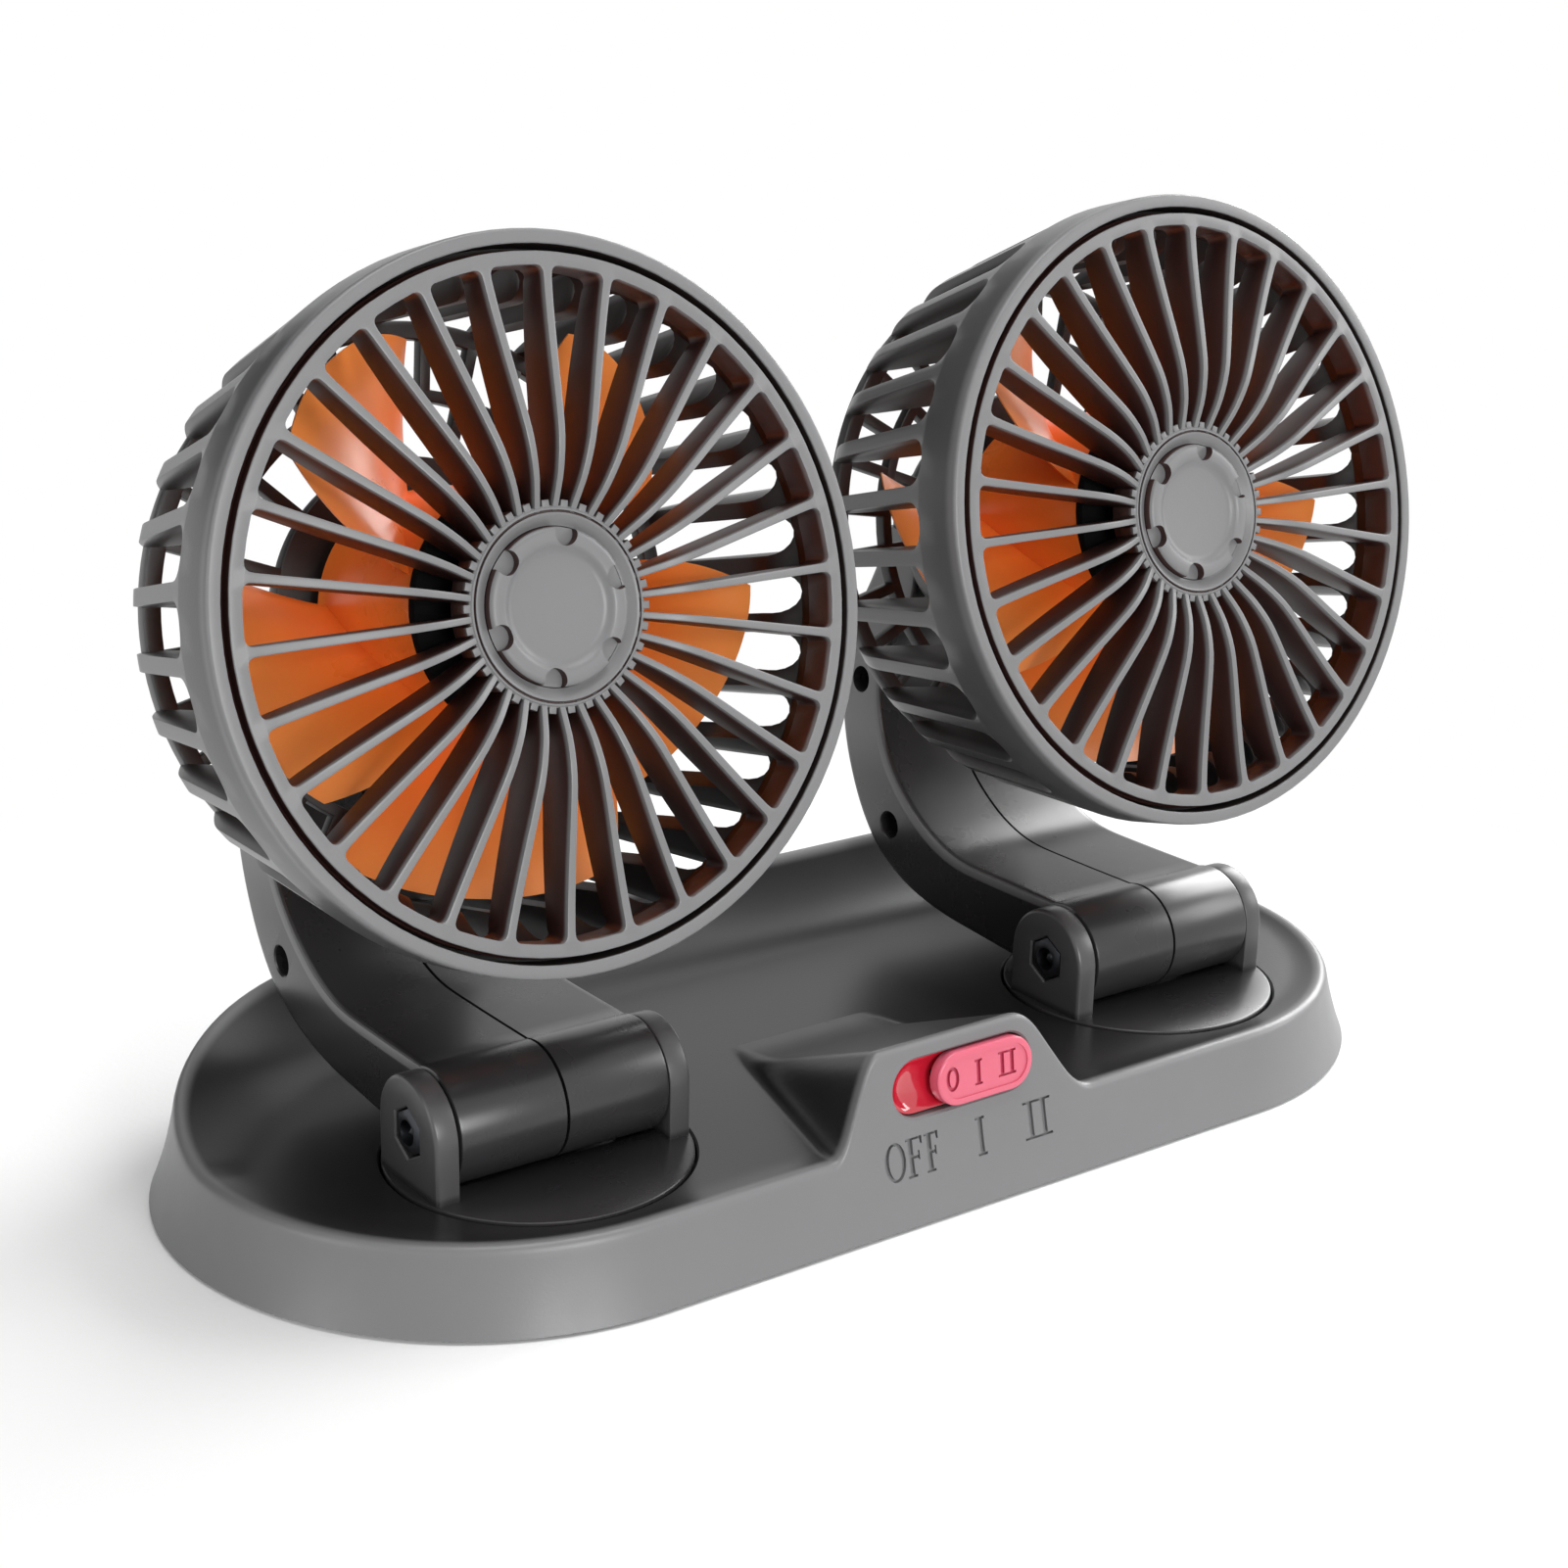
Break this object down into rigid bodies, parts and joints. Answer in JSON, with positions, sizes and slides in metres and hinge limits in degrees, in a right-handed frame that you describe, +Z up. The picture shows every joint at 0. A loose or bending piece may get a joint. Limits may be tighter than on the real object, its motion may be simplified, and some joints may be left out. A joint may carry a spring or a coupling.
{
  "type": "dual head car fan",
  "caption": "Twin caged fans on swivelling, tilting arms over a low weighted base with a three-position slide switch.",
  "frame": {"origin": "middle of the footprint, on the underside of the base pad", "axes": "+Z up; the fans face -Y; +X to the right of someone who looks at the fans from the front"},
  "size_m": [0.2404, 0.1104, 0.1573],
  "materials": {
    "grey_plastic": "satin mid-grey moulded ABS",
    "dark_plastic": "dark grey moulded ABS",
    "black_rubber": "matt black",
    "black_plastic": "satin black",
    "red_plastic": "glossy deep red",
    "pink_plastic": "satin pinkish red",
    "orange_plastic": "satin translucent orange",
    "green_board": "solder-masked board",
    "steel": "zinc plated"
  },
  "bodies": {
    "base": {"base_shell": "grey_plastic", "base_cover": "dark_plastic", "base_pad": "black_rubber", "base_screw_front_left": "steel", "base_screw_front_right": "steel", "base_screw_back_left": "steel", "base_screw_back_right": "steel", "cable_grommet": "black_rubber", "switch_bezel": "red_plastic", "switch_body": "black_plastic", "circuit_board": "green_board"},
    "switch_slider": {"switch_slider": "pink_plastic"},
    "left_turntable": {"left_turntable": "grey_plastic", "left_swivel_retainer": "steel", "left_swivel_screw": "steel", "left_hinge_bolt": "steel", "left_hinge_nut": "steel"},
    "left_head": {"left_arm_left_half": "grey_plastic", "left_arm_right_half": "grey_plastic", "left_arm_screw_lower": "steel", "left_arm_screw_upper": "steel", "left_housing": "grey_plastic", "left_front_grille": "grey_plastic", "left_hub_cap": "grey_plastic", "left_motor": "steel", "left_motor_cover": "black_plastic", "left_head_screw_left": "steel", "left_head_screw_right": "steel"},
    "left_fan": {"left_impeller": "orange_plastic", "left_motor_shaft": "steel"},
    "right_turntable": {"right_turntable": "grey_plastic", "right_swivel_retainer": "steel", "right_swivel_screw": "steel", "right_hinge_bolt": "steel", "right_hinge_nut": "steel"},
    "right_head": {"right_arm_left_half": "grey_plastic", "right_arm_right_half": "grey_plastic", "right_arm_screw_lower": "steel", "right_arm_screw_upper": "steel", "right_housing": "grey_plastic", "right_front_grille": "grey_plastic", "right_hub_cap": "grey_plastic", "right_motor": "steel", "right_motor_cover": "black_plastic", "right_head_screw_left": "steel", "right_head_screw_right": "steel"},
    "right_fan": {"right_impeller": "orange_plastic", "right_motor_shaft": "steel"}
  },
  "joints": [
    {"name": "switch_slide", "type": "slide", "parent": "base", "child": "switch_slider", "axis": [1, 0, 0], "range_m": [-0.008, 0]},
    {"name": "left_swivel", "type": "hinge", "parent": "base", "child": "left_turntable", "pos_m": [-0.06534, -0.02002, 0.01342], "axis": [0, 0, 1], "range_deg": [-30, 30]},
    {"name": "left_tilt", "type": "hinge", "parent": "left_turntable", "child": "left_head", "pos_m": [-0.06534, -0.01963, 0.02227], "axis": [1, 0, 0], "range_deg": [-6, 35]},
    {"name": "left_fan_spin", "type": "hinge", "parent": "left_head", "child": "left_fan", "pos_m": [-0.06534, -0.02728, 0.10413], "axis": [0, -0.9724, 0.2333], "continuous": true},
    {"name": "right_swivel", "type": "hinge", "parent": "base", "child": "right_turntable", "pos_m": [0.06534, -0.02002, 0.01342], "axis": [0, 0, 1], "range_deg": [-30, 30]},
    {"name": "right_tilt", "type": "hinge", "parent": "right_turntable", "child": "right_head", "pos_m": [0.06534, -0.01963, 0.02227], "axis": [1, 0, 0], "range_deg": [-6, 35]},
    {"name": "right_fan_spin", "type": "hinge", "parent": "right_head", "child": "right_fan", "pos_m": [0.06534, -0.02728, 0.10413], "axis": [0, -0.9724, 0.2333], "continuous": true}
  ]
}
